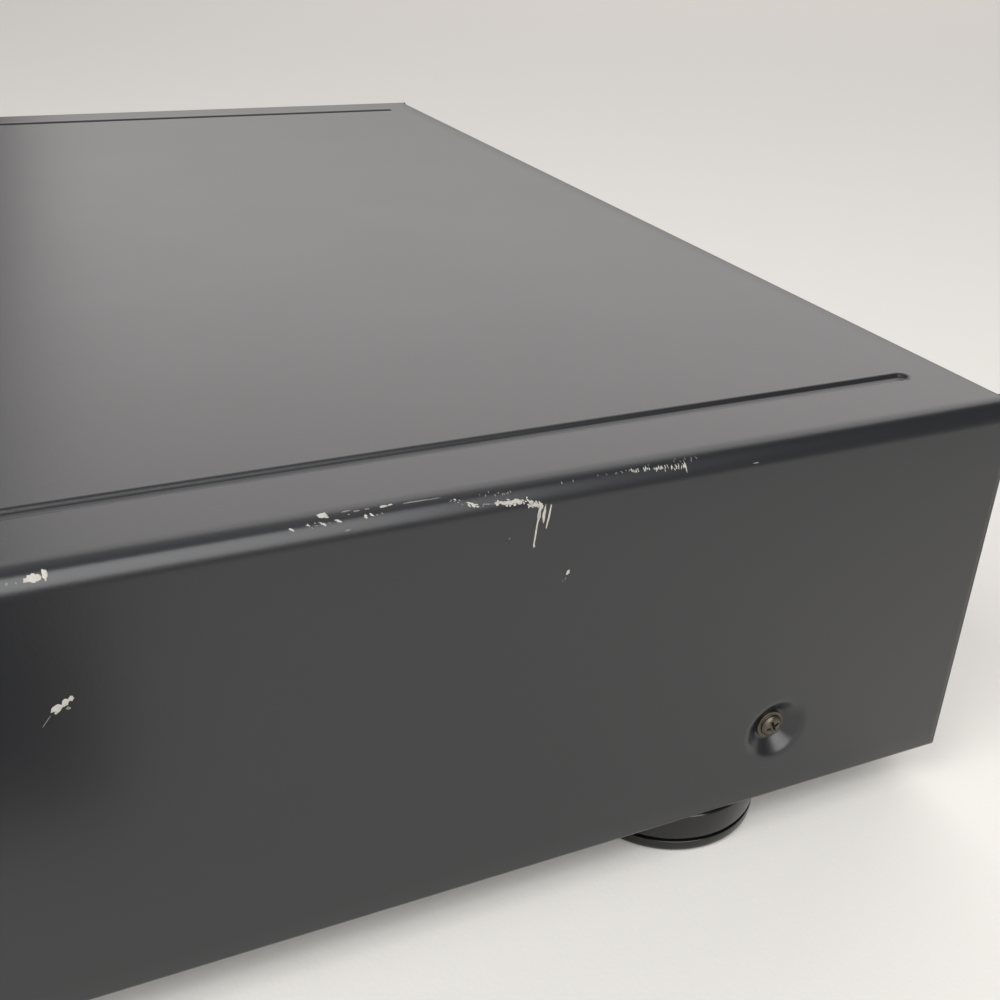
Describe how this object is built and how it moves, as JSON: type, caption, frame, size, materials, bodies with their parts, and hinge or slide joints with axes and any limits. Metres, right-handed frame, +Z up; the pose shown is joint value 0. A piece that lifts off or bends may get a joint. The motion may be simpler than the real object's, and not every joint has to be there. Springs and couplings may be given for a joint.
{
  "type": "multi disc cd changer",
  "caption": "Full-width hi-fi disc player: a front drawer with a turning carousel of disc pockets, a lift with spindle and pickup behind it, in a folded black steel cover",
  "frame": {"origin": "centre of the overall footprint, on the plane the feet stand on", "axes": "+X to the right seen from the front, +Y to the rear, +Z up"},
  "size_m": [0.435, 0.405, 0.1165],
  "materials": {
    "black_paint": "satin",
    "galvanised_steel": "satin",
    "rear_paint": "satin",
    "front_plastic": "satin",
    "window": "polished",
    "foot_plastic": "gloss",
    "screw_steel": "polished",
    "socket_plastic": "satin",
    "gold_plate": "polished",
    "ring_plastic": "satin",
    "circuit_board": "satin",
    "tube_glass": "gloss",
    "key_plastic": "satin",
    "knob_plastic": "satin",
    "drawer_plastic": "satin",
    "gear_plastic": "satin",
    "pulley_brass": "satin",
    "belt_rubber": "matt",
    "motor_steel": "satin",
    "frame_plastic": "matt",
    "transformer_steel": "matt"
  },
  "bodies": {
    "casing": {"chassis_base": "galvanised_steel", "top_cover": "black_paint", "rear_panel": "rear_paint", "front_panel": "front_plastic", "display_window": "window", "foot_front_left": "foot_plastic", "foot_front_right": "foot_plastic", "foot_rear_left": "foot_plastic", "foot_rear_right": "foot_plastic", "casing_screws": "screw_steel", "jack_housing": "socket_plastic", "jack_shells": "gold_plate", "jack_rings": "ring_plastic", "ac_inlet": "socket_plastic", "front_board": "circuit_board", "display_tube": "tube_glass", "headphone_jack": "socket_plastic", "loader_frame": "frame_plastic", "loading_motor": "motor_steel", "loading_belt": "belt_rubber", "lift_frame": "frame_plastic", "clamp_bridge": "galvanised_steel", "main_board": "circuit_board", "power_transformer": "transformer_steel"},
    "tray": {"tray": "drawer_plastic", "tray_front": "front_plastic", "hub_cap": "drawer_plastic", "carousel_motor": "motor_steel", "carousel_belt": "belt_rubber"},
    "loading_gear": {"loading_gear": "gear_plastic"},
    "loading_motor_pulley": {"loading_motor_pulley": "pulley_brass"},
    "carousel": {"carousel": "drawer_plastic", "carousel_gear": "gear_plastic"},
    "carousel_pinion": {"carousel_pinion": "gear_plastic"},
    "carousel_motor_pulley": {"carousel_motor_pulley": "pulley_brass"},
    "lift_cam": {"lift_cam": "gear_plastic"},
    "lift_carriage": {"lift_carriage": "frame_plastic", "spindle_motor": "motor_steel", "sled_rods": "motor_steel", "sled_motor": "motor_steel"},
    "disc_table": {"disc_table": "frame_plastic"},
    "optical_pickup": {"optical_pickup": "frame_plastic"},
    "sled_screw": {"sled_screw": "motor_steel"},
    "clamp_puck": {"clamp_puck": "frame_plastic"},
    "level_knob": {"level_knob": "knob_plastic"},
    "disc1_button": {"disc1_button": "key_plastic"},
    "disc2_button": {"disc2_button": "key_plastic"},
    "disc3_button": {"disc3_button": "key_plastic"},
    "disc4_button": {"disc4_button": "key_plastic"},
    "disc5_button": {"disc5_button": "key_plastic"},
    "previous_button": {"previous_button": "key_plastic"},
    "next_button": {"next_button": "key_plastic"},
    "repeat_button": {"repeat_button": "key_plastic"},
    "play_button": {"play_button": "key_plastic"},
    "pause_button": {"pause_button": "key_plastic"},
    "stop_button": {"stop_button": "key_plastic"},
    "program_button": {"program_button": "key_plastic"},
    "disc_skip_button": {"disc_skip_button": "key_plastic"},
    "open_close_button": {"open_close_button": "key_plastic"},
    "power_button": {"power_button": "key_plastic"}
  },
  "joints": [
    {"name": "tray_slide", "type": "slide", "parent": "casing", "child": "tray", "axis": [0, -1, 0], "range_m": [0, 0.25]},
    {"name": "loading_gear_spin", "type": "hinge", "parent": "casing", "child": "loading_gear", "pos_m": [-0.1912, -0.104, 0.072], "axis": [0, 0, 1], "range_deg": [-958, 3]},
    {"name": "loading_motor_spin", "type": "hinge", "parent": "casing", "child": "loading_motor_pulley", "pos_m": [-0.15, -0.104, 0.066], "axis": [0, 0, 1], "range_deg": [-2750, 8]},
    {"name": "carousel_spin", "type": "hinge", "parent": "tray", "child": "carousel", "pos_m": [0, -0.0115, 0.086], "axis": [0, 0, 1], "continuous": true},
    {"name": "carousel_pinion_spin", "type": "hinge", "parent": "tray", "child": "carousel_pinion", "pos_m": [0.0735, -0.0115, 0.08], "axis": [0, 0, 1], "continuous": true},
    {"name": "carousel_motor_spin", "type": "hinge", "parent": "tray", "child": "carousel_motor_pulley", "pos_m": [0.104, 0.106, 0.078], "axis": [0, 0, 1], "continuous": true},
    {"name": "lift_slide", "type": "slide", "parent": "casing", "child": "lift_carriage", "axis": [0, 0, 1], "range_m": [0, 0.011]},
    {"name": "cam_slide", "type": "slide", "parent": "casing", "child": "lift_cam", "axis": [-1, 0, 0], "range_m": [0, 0.02501]},
    {"name": "spindle_spin", "type": "hinge", "parent": "lift_carriage", "child": "disc_table", "pos_m": [0, 0.0925, 0.08], "axis": [0, 0, 1], "continuous": true},
    {"name": "sled_slide", "type": "slide", "parent": "lift_carriage", "child": "optical_pickup", "axis": [1, 0, 0], "range_m": [0, 0.034]},
    {"name": "sled_screw_spin", "type": "hinge", "parent": "lift_carriage", "child": "sled_screw", "pos_m": [0.04, 0.112, 0.0615], "axis": [1, 0, 0], "range_deg": [-5, 4085]},
    {"name": "clamp_spin", "type": "hinge", "parent": "casing", "child": "clamp_puck", "pos_m": [0, 0.0925, 0.098], "axis": [0, 0, 1], "continuous": true},
    {"name": "level_turn", "type": "hinge", "parent": "casing", "child": "level_knob", "pos_m": [-0.158, -0.196, 0.029], "axis": [0, 1, 0], "range_deg": [-150, 150]},
    {"name": "disc1_press", "type": "slide", "parent": "casing", "child": "disc1_button", "axis": [0, 1, 0], "range_m": [0, 0.0012], "stiffness_N_per_m": 600, "springref_m": -0.001},
    {"name": "disc2_press", "type": "slide", "parent": "casing", "child": "disc2_button", "axis": [0, 1, 0], "range_m": [0, 0.0012], "stiffness_N_per_m": 600, "springref_m": -0.001},
    {"name": "disc3_press", "type": "slide", "parent": "casing", "child": "disc3_button", "axis": [0, 1, 0], "range_m": [0, 0.0012], "stiffness_N_per_m": 600, "springref_m": -0.001},
    {"name": "disc4_press", "type": "slide", "parent": "casing", "child": "disc4_button", "axis": [0, 1, 0], "range_m": [0, 0.0012], "stiffness_N_per_m": 600, "springref_m": -0.001},
    {"name": "disc5_press", "type": "slide", "parent": "casing", "child": "disc5_button", "axis": [0, 1, 0], "range_m": [0, 0.0012], "stiffness_N_per_m": 600, "springref_m": -0.001},
    {"name": "previous_press", "type": "slide", "parent": "casing", "child": "previous_button", "axis": [0, 1, 0], "range_m": [0, 0.0012], "stiffness_N_per_m": 600, "springref_m": -0.001},
    {"name": "next_press", "type": "slide", "parent": "casing", "child": "next_button", "axis": [0, 1, 0], "range_m": [0, 0.0012], "stiffness_N_per_m": 600, "springref_m": -0.001},
    {"name": "repeat_press", "type": "slide", "parent": "casing", "child": "repeat_button", "axis": [0, 1, 0], "range_m": [0, 0.0012], "stiffness_N_per_m": 600, "springref_m": -0.001},
    {"name": "play_press", "type": "slide", "parent": "casing", "child": "play_button", "axis": [0, 1, 0], "range_m": [0, 0.0012], "stiffness_N_per_m": 600, "springref_m": -0.001},
    {"name": "pause_press", "type": "slide", "parent": "casing", "child": "pause_button", "axis": [0, 1, 0], "range_m": [0, 0.0012], "stiffness_N_per_m": 600, "springref_m": -0.001},
    {"name": "stop_press", "type": "slide", "parent": "casing", "child": "stop_button", "axis": [0, 1, 0], "range_m": [0, 0.0012], "stiffness_N_per_m": 600, "springref_m": -0.001},
    {"name": "program_press", "type": "slide", "parent": "casing", "child": "program_button", "axis": [0, 1, 0], "range_m": [0, 0.0012], "stiffness_N_per_m": 600, "springref_m": -0.001},
    {"name": "disc_skip_press", "type": "slide", "parent": "casing", "child": "disc_skip_button", "axis": [0, 1, 0], "range_m": [0, 0.0012], "stiffness_N_per_m": 600, "springref_m": -0.001},
    {"name": "open_close_press", "type": "slide", "parent": "casing", "child": "open_close_button", "axis": [0, 1, 0], "range_m": [0, 0.0012], "stiffness_N_per_m": 600, "springref_m": -0.001},
    {"name": "power_press", "type": "slide", "parent": "casing", "child": "power_button", "axis": [0, 1, 0], "range_m": [0, 0.0012], "stiffness_N_per_m": 600, "springref_m": -0.001}
  ],
  "couplings": [
    {"joint": "loading_gear_spin", "follows": "tray_slide", "rad_per_m": -66.667},
    {"joint": "loading_motor_spin", "follows": "tray_slide", "rad_per_m": -191.38},
    {"joint": "carousel_pinion_spin", "follows": "carousel_spin", "ratio": -4.4444},
    {"joint": "carousel_motor_spin", "follows": "carousel_spin", "ratio": -9.7355},
    {"joint": "cam_slide", "follows": "lift_slide", "ratio": 2.2727},
    {"joint": "sled_screw_spin", "follows": "sled_slide", "rad_per_m": 2094.4}
  ]
}
